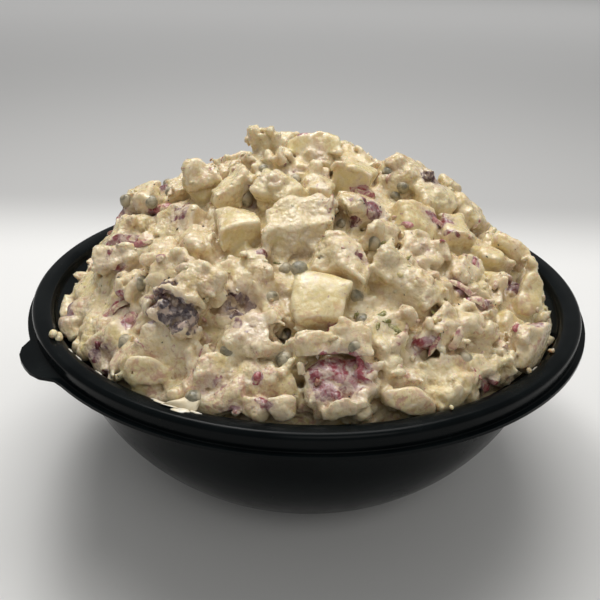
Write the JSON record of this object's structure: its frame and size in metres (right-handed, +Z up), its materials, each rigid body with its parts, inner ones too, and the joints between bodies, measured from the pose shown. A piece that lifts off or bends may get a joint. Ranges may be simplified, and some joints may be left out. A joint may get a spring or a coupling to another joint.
{
  "type": "bowl of potato salad",
  "caption": "Potato salad with red-skinned chunks, capers and red onion in a creamy dressing, heaped high in its round black plastic bowl.",
  "frame": {"origin": "middle of the flat underside of the bowl's base", "axes": "+Z up through the heap, -Y towards the pictured side, +X to its right"},
  "size_m": [0.259, 0.2586, 0.1565],
  "materials": {
    "black_plastic": "near-black thermoformed plastic, satin gloss, with a few dressing smears on the rim",
    "salad": null
  },
  "bodies": {
    "root": {"bowl": "black_plastic", "salad": "salad"}
  },
  "joints": []
}
